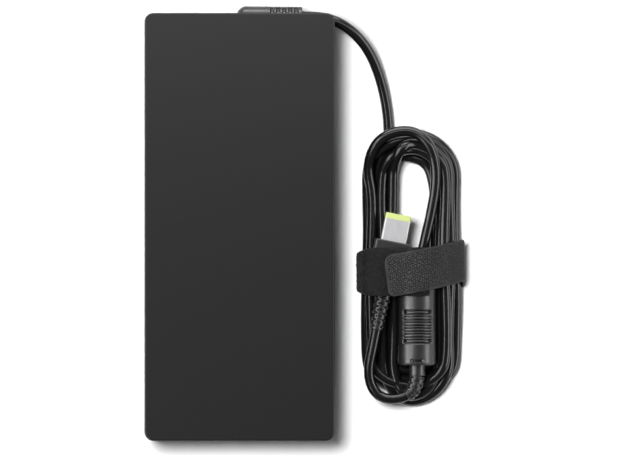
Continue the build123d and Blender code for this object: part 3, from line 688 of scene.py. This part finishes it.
def add_bead_cover(materials):
    """The bead's moulded cover, with its ribs, end pockets, slot and neck."""
    low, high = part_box("bead_cover")
    radius = (high.x - low.x) / 2
    centre = Vector(((low.x + high.x) / 2, high.y, high.z - radius))
    length = high.y - low.y
    body = length - BEAD_NECK_LENGTH
    places = [0.0]
    while places[-1] < length:
        place = places[-1]
        ribbed = abs(place - RIB_FIRST_DOWN - RIB_BAND_MIDDLE) < RIB_BAND_REACH
        edged = place < BEAD_EDGE or abs(body - place) < BEAD_END_REACH
        places.append(place + (FINE_STEP if ribbed or edged else COARSE_STEP))
    places[-1] = length
    places += [body, body + LEDGE_STEP]
    frames = []
    for place in sorted(places):
        frames.append((centre - Vector((0, place, 0)), Vector((1, 0, 0)), Vector((0, 0, 1)), place))

    def outer(distance, angle):
        return bead_radius(distance, angle, length, radius)

    cover = ring_tube("ferrite_bead_cover", [(frames, outer, CORD_RADIUS + CORD_GAP)])
    paint(cover, materials["bead_plastic"])
    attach(cover, "adapter")
    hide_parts("bead_cover")
    return cover


def end_bevel(from_end):
    """How much a sleeve narrows at its very end."""
    return END_BEVEL * (1 - step_up(from_end, END_BEVEL_AT, END_BEVEL_SOFT))


def sleeve_radius(distance, angle, length, radii, ends):
    """A tapered sleeve's radius and recess: rows of short slots, each row turned from
    the last, between two plain collars."""
    share = distance / length
    size = radii[0] + (radii[1] - radii[0]) * share
    recess = 0.0
    if ends[0] < distance < length - ends[1]:
        row = round((distance - ends[0]) / SLEEVE_ROW)
        away = abs(distance - ends[0] - row * SLEEVE_ROW)
        quarter = math.pi / 2
        turned = (angle + (row % 2) * quarter / 2) % quarter
        from_middle = abs(turned - quarter / 2)
        open_here = 1 - step_up(from_middle, SLEEVE_OPEN, SLEEVE_OPEN_SOFT)
        groove = 1 - step_up(away, SLEEVE_SLOT / 2, SLEEVE_SLOT_SOFT)
        recess = SLEEVE_DEPTH * open_here * groove
    return size - recess - end_bevel(min(distance, length - distance)), recess


def resample(points, step):
    """The same line with its points a set step apart."""
    line = []
    carried = 0.0
    for first, second in zip(points, points[1:]):
        span = (second - first).length
        while carried < span:
            line.append(first.lerp(second, carried / span))
            carried += step
        carried -= span
    return line + [points[-1]]


def add_sleeve(name, node, material, points, radii, ends, bore):
    """A slotted strain relief along a line of points."""
    line = resample(points, SLEEVE_STEP)
    frames = line_frames(line)
    length = frames[-1][3]

    def outer(distance, angle):
        return sleeve_radius(distance, angle, length, radii, ends)

    sleeve = ring_tube(name, [(frames, outer, bore)])
    paint(sleeve, material)
    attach(sleeve, "adapter")
    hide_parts(node)
    return sleeve


def cord_line():
    """The points of the cord's own smooth line, read from a copy with no thickness."""
    data = bpy.data.curves.new("line", "CURVE")
    fill_spline(data)
    data.resolution_u = LINE_DETAIL
    curve = bpy.data.objects.new("line", data)
    bpy.context.scene.collection.objects.link(curve)
    mesh = bpy.data.meshes.new_from_object(curve)
    points = [vertex.co.copy() for vertex in mesh.vertices]
    bpy.data.objects.remove(curve)
    bpy.data.meshes.remove(mesh)
    return points


BEAD_SLEEVE_LENGTH = 0.0098
BEAD_SLEEVE_RADII = (0.00325, 0.0029)
BEAD_SLEEVE_ENDS = (0.0008, 0.0008)
PLUG_SLEEVE_RADII = (0.0036, 0.0027)
PLUG_SLEEVE_ENDS = (0.0016, 0.0012)
PLUG_SLEEVE_GRIP = 0.9
PLUG_SLEEVE_SHORT = 0.2
NECK_NEAR_X = 0.002
NECK_NEAR_Y = 0.0015
NECK_CLEAR = 0.0001
LINE_DETAIL = 24


def bead_sleeve_points():
    """The cord's line from the bead's neck on, as far as the relief reaches."""
    low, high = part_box("bead_cover")
    line = cord_line()
    middle = (low.x + high.x) / 2
    start = max(index for index, point in enumerate(line)
                if abs(point.y - low.y) < NECK_NEAR_Y and abs(point.x - middle) < NECK_NEAR_X)
    points = [Vector((middle, low.y, line[start].z))]
    walked = 0.0
    for point in line[start + 1:]:
        if point.y > points[-1].y - NECK_CLEAR and walked == 0.0:
            continue
        walked += (point - points[-1]).length
        points.append(point)
        if walked > BEAD_SLEEVE_LENGTH:
            break
    return points


def plug_sleeve_points():
    """The plug relief's straight axis: from the overmould's back to the cord's end."""
    end = Vector(CROSSING[-1])
    low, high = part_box("plug_tip")
    tip = (low + high) / 2
    along = (Vector((tip.x, tip.y, end.z)) - end).normalized()
    relief_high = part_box("plug_strain_relief")[1]
    length = (relief_high.y - end.y) / along.y - PLUG_SLEEVE_RADII[0] * PLUG_SLEEVE_SHORT
    return [end + along * length, end]


ELBOW_PLAIN = 0.0151
ELBOW_RING = 0.0128
ELBOW_RING_HALF = 0.0005
ELBOW_PITCH = 0.00255
ELBOW_ROWS = 5
ELBOW_POCKET = 0.00145
ELBOW_DEPTH = 0.0014
ELBOW_RING_HEIGHT = 0.00012
ELBOW_TURN = 0.16
ELBOW_OPEN = 0.55
ELBOW_OPEN_SOFT = 0.1
ELBOW_POCKET_SOFT = 0.0003
ELBOW_TAPER = 0.0003
NECK_INSET = 0.00002
NECK_STEPS = 8
CLOSED_BORE = 0.00001


def elbow_radius(distance, angle, radii, length):
    """The case relief's arm: a domed start, a plain part, a ring, then enclosed pockets."""
    size = radii[0] + (radii[1] - radii[0]) * distance / length
    recess = 0.0
    if distance < radii[0]:
        return math.sqrt(radii[0] ** 2 - (radii[0] - distance) ** 2) + CLOSED_BORE, 0.0
    if abs(distance - ELBOW_RING) < ELBOW_RING_HALF:
        size += ELBOW_RING_HEIGHT
    row = round((distance - ELBOW_PLAIN) / ELBOW_PITCH)
    if 0 <= row < ELBOW_ROWS:
        away = abs(distance - ELBOW_PLAIN - row * ELBOW_PITCH)
        turned = (angle + (ELBOW_TURN if row % 2 else -ELBOW_TURN)) % (math.pi / 2)
        inside = 1 - step_up(abs(turned - math.pi / 4), ELBOW_OPEN, ELBOW_OPEN_SOFT)
        recess = ELBOW_DEPTH * inside * (1 - step_up(away, ELBOW_POCKET / 2, ELBOW_POCKET_SOFT))
    return size - recess - end_bevel(length - distance), recess


def add_case_relief(material):
    """The elbow on the case: a neck out of the wall and an arm along the end."""
    low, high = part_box("cord_strain_relief")
    exit_point = Vector(LEAD[0])
    start_radius = high.y - exit_point.y
    radii = (start_radius, start_radius - ELBOW_TAPER)
    leads_low, leads_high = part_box("output_leads")
    neck_x = (leads_low.x + leads_high.x) / 2
    arm_start = Vector((neck_x - start_radius, exit_point.y, exit_point.z))
    length = exit_point.x - arm_start.x
    count = int(length / SLEEVE_STEP)
    along = [arm_start + Vector((length * index / count, 0, 0)) for index in range(count + 1)]
    neck = [Vector((neck_x, low.y + (exit_point.y - low.y) * index / NECK_STEPS, exit_point.z))
            for index in range(NECK_STEPS + 1)]

    def arm_radius(distance, angle):
        return elbow_radius(distance, angle, radii, length)

    def neck_radius(distance, angle):
        return start_radius - NECK_INSET, 0.0

    relief = ring_tube("case_relief_elbow", [
        (line_frames(along), arm_radius, CLOSED_BORE),
        (line_frames(neck), neck_radius, CLOSED_BORE),
    ])
    paint(relief, material)
    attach(relief, "adapter")
    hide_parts("cord_strain_relief")
    return relief


def add_reliefs(materials):
    """The three strain reliefs: at the case, the bead and the plug."""
    rubber = materials["relief_rubber"]
    bore = CORD_RADIUS + CORD_GAP
    bead = add_sleeve("bead_relief_sleeve", "bead_strain_relief", rubber,
                      bead_sleeve_points(), BEAD_SLEEVE_RADII, BEAD_SLEEVE_ENDS, bore)
    plug = add_sleeve("plug_relief_sleeve", "plug_strain_relief", rubber,
                      plug_sleeve_points(), PLUG_SLEEVE_RADII, PLUG_SLEEVE_ENDS,
                      CORD_RADIUS * PLUG_SLEEVE_GRIP)
    return [add_case_relief(rubber), bead, plug]


# --- strap --------------------------------------------------------------------

CLOTH_THICKNESS = 0.0011
BAND_WIDTH = 0.0205
FLAP_WIDTH = 0.0178
END_ROUNDING = 0.0032
EDGE_SHARPNESS = 14
EDGE_THINNING = 0.6
BAND_STEP = 0.0004
FLAP_STEP = 0.00021

# The strap's middle line in X and Z.  The band runs from under the free end, over
# the plug, down the left side and back under the hank; the flap goes on from there.
BAND_LINE = [
    (0.0800, 0.0199), (0.0770, 0.0210), (0.0740, 0.0213), (0.0700, 0.0203), (0.0640, 0.0200),
    (0.0560, 0.0201), (0.0527, 0.0181), (0.0515, 0.0130), (0.0501, 0.0070), (0.0497, 0.0026),
    (0.0520, 0.0011), (0.0600, 0.0010), (0.0760, 0.0010), (0.0870, 0.0010),
]
FLAP_LINE = [
    (0.0868, 0.0010), (0.0918, 0.0011), (0.0943, 0.0025), (0.0946, 0.0060), (0.0940, 0.0092),
    (0.0915, 0.0121), (0.0872, 0.0160), (0.0824, 0.0202), (0.0785, 0.0222), (0.0748, 0.0228),
    (0.0700, 0.0220), (0.0660, 0.0216), (0.0618, 0.0215),
]


def smooth_line(points, rounds=3):
    """Cuts a polyline's corners until it is a smooth curve with the same ends."""
    line = [Vector(point) for point in points]
    for _ in range(rounds):
        cut = [line[0]]
        for first, second in zip(line, line[1:]):
            cut += [first.lerp(second, 0.25), first.lerp(second, 0.75)]
        line = cut + [line[-1]]
    return line


def even_line(points, step):
    """Places along a smooth line, evenly spaced, each with its distance from the start."""
    line = smooth_line(points)
    lengths = [0.0]
    for first, second in zip(line, line[1:]):
        lengths.append(lengths[-1] + (second - first).length)
    total = lengths[-1]
    count = max(int(total / step), 2)
    places = []
    segment = 0
    for index in range(count + 1):
        wanted = total * index / count
        while segment < len(line) - 2 and lengths[segment + 1] < wanted:
            segment += 1
        span = lengths[segment + 1] - lengths[segment]
        share = (wanted - lengths[segment]) / span if span else 0.0
        places.append((line[segment].lerp(line[segment + 1], min(share, 1.0)), wanted))
    return places, total


def line_length(points):
    """How long a smooth line is."""
    line = smooth_line(points)
    return sum((second - first).length for first, second in zip(line, line[1:]))


def strip_faces(row_count, wide):
    """Faces for a strip's outer and inner layers of vertices, and the rim between."""
    layer = row_count * wide
    faces = []
    for row in range(row_count - 1):
        for column in range(wide - 1):
            corner = row * wide + column
            beside = corner + 1
            ahead = corner + wide
            faces.append((corner, beside, ahead + 1, ahead))
            faces.append((corner + layer, ahead + layer, ahead + 1 + layer, beside + layer))
    rim = [row * wide for row in range(row_count)]
    rim += [(row_count - 1) * wide + column for column in range(1, wide)]
    rim += [row * wide + wide - 1 for row in range(row_count - 2, -1, -1)]
    rim += list(range(wide - 2, 0, -1))
    for first, second in zip(rim, rim[1:] + rim[:1]):
        faces.append((first, second, second + layer, first + layer))
    return faces


def strip(name, line, width, middle, rounding, relief, step):
    """A cloth strip along a line in X and Z.  middle(share, x) gives its middle's Y, how
    far its end is skewed and how much narrower it is; relief(distance, v, point) gives
    how far its outer face stands out, with v from -1 to 1 across it."""
    places, total = even_line(line, step)
    across = int(width / step)
    rows = []
    heights = []
    for index, (place, distance) in enumerate(places):
        before = places[max(index - 1, 0)][0]
        after = places[min(index + 1, len(places) - 1)][0]
        tangent = (after - before).normalized()
        normal = Vector((tangent.y, -tangent.x))
        from_end = total - distance
        half = width / 2
        if rounding and from_end < rounding:
            half -= rounding - math.sqrt(max(rounding ** 2 - (rounding - from_end) ** 2, 0.0))
        centre_y, skew, pinch = middle(distance / total, place.x)
        half -= pinch
        row = []
        for column in range(across + 1):
            v = 2 * column / across - 1
            slid = place + tangent * (skew * v * width / 2)
            point = Vector((slid.x, centre_y + v * half, slid.y))
            out = Vector((normal.x, 0.0, normal.y))
            edge = CLOTH_THICKNESS / 2 * (1 - abs(v) ** EDGE_SHARPNESS * EDGE_THINNING)
            height = relief(distance, v, point)
            # Each vertex keeps its relief height for the strap's painted highlight.
            heights.append(height / MM)
            row.append((point + out * (edge + height), point - out * edge))
        rows.append(row)
    vertices = [pair[face] for face in (0, 1) for row in rows for pair in row]
    faces = strip_faces(len(rows), across + 1)
    backs = [0.0] * len(heights)
    return smooth_mesh(name, vertices, faces, "relief_mm", heights + backs)


TUFT_SCALE = 700.0
TUFT_HEIGHT = 0.00028
FIBRE_SCALE = 2300.0
FIBRE_HEIGHT = 0.0002


def loop_relief(distance, v, point):
    """Brushed loop pile: uneven tufts all over, wherever the point is."""
    coarse = noise.noise(point * TUFT_SCALE) * TUFT_HEIGHT
    fine = noise.noise(point * FIBRE_SCALE) * FIBRE_HEIGHT
    return coarse + fine


HOOK_PITCH = 0.00105
HOOK_ROW = 0.00088
HOOK_SIZE = 0.00023
HOOK_HEIGHT = 0.00042
HOOK_START = 0.012
HOOK_START_SOFT = 0.004
HOOK_SOFT = 0.0003
HOOK_STRAY = 0.00042
HOOK_SHORTEST = 0.65
HOOK_VARIATION = 0.7
HOOK_SEED_STEPS = (3.7, 5.3, 0.5)
HOOK_SEED_SHIFT = Vector((9.1, 0, 0))
HOOK_SEED_SCALE = 1.3
HEM_WIDTH = 0.0011
HEM_HEIGHT = 0.00012
HEM_SOFT = 0.0003
FLAP_UNEVEN_SCALE = 260.0
FLAP_UNEVENNESS = 0.00006
FLAP_LENGTH = line_length(FLAP_LINE)


def hook_relief(distance, v, point):
    """Staggered rows of moulded hooks, uneven, inside a plain raised hem."""
    across = v * FLAP_WIDTH / 2
    from_side = FLAP_WIDTH / 2 - abs(across)
    from_end = min(from_side, FLAP_LENGTH - distance)
    hem = HEM_HEIGHT * (1 - step_up(from_end, HEM_WIDTH, HEM_SOFT))
    row = round(distance / HOOK_ROW)
    shift = HOOK_PITCH / 2 if row % 2 else 0.0
    column = round((across - shift) / HOOK_PITCH)
    row_step, column_step, level = HOOK_SEED_STEPS
    seed = Vector((row * row_step, column * column_step, level))
    hook_along = row * HOOK_ROW + noise.noise(seed) * HOOK_STRAY
    hook_across = column * HOOK_PITCH + shift + noise.noise(seed + HOOK_SEED_SHIFT) * HOOK_STRAY
    away = math.hypot(distance - hook_along, across - hook_across)
    tall = HOOK_SHORTEST + HOOK_VARIATION * abs(noise.noise(seed * HOOK_SEED_SCALE))
    hook = tall * HOOK_HEIGHT * (1 - step_up(away, HOOK_SIZE, HOOK_SOFT))
    inside = step_up(from_end, HEM_WIDTH, HEM_SOFT) * step_up(distance, HOOK_START, HOOK_START_SOFT)
    uneven = noise.noise(point * FLAP_UNEVEN_SCALE) * FLAP_UNEVENNESS
    return max(hem, hook * inside) + uneven


BAND_Y = -0.0188
BAND_SLANT = 0.0006
PINCH = 0.0026
PINCH_START = 0.0570
PINCH_REACH = 0.0080


def band_middle(share, x):
    """The band tapers down its left side, where the cord pulls its edges in."""
    outward = max(PINCH_START - x, 0.0) / PINCH_REACH
    return BAND_Y - BAND_SLANT * share, 0.0, PINCH * outward ** 2


FLAP_UNDER_Y = -0.0192
FLAP_SIDE_Y = -0.0143
FLAP_END_Y = -0.0209
FLAP_SIDE_SHARE = 0.28
FLAP_SKEW = 0.085


def flap_middle(share, x):
    """The free end slants: it climbs towards +Y from its end to the right side."""
    if share < FLAP_SIDE_SHARE:
        turned = eased(share / FLAP_SIDE_SHARE)
        return FLAP_UNDER_Y + (FLAP_SIDE_Y - FLAP_UNDER_Y) * turned, 0.0, 0.0
    rest = (share - FLAP_SIDE_SHARE) / (1 - FLAP_SIDE_SHARE)
    return FLAP_SIDE_Y + (FLAP_END_Y - FLAP_SIDE_Y) * rest, FLAP_SKEW * rest, 0.0


def add_strap(materials):
    """The strap's two sheets: the band and the free end."""
    band = strip("strap_loop_band", BAND_LINE, BAND_WIDTH, band_middle, 0.0,
                 loop_relief, BAND_STEP)
    paint(band, materials["strap_loop"])
    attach(band, "adapter")
    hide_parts("strap_band")
    flap = strip("strap_hook_flap", FLAP_LINE, FLAP_WIDTH, flap_middle, END_ROUNDING,
                 hook_relief, FLAP_STEP)
    paint(flap, materials["strap_hook"])
    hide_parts("strap_flap")
    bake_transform(flap)
    line_length(BAND_LINE)
    return [band, flap]


# --- the scene ----------------------------------------------------------------

def main():
    """Makes the camera and the cord, then the light, the floor and the other pieces."""
    add_camera()
    materials = slot_materials()
    cord = add_cord(materials)
    add_lights()
    add_floor()
    paint_cad_nodes(materials)
    pieces = [add_bead_cover(materials)] + add_reliefs(materials) + add_strap(materials)


main()
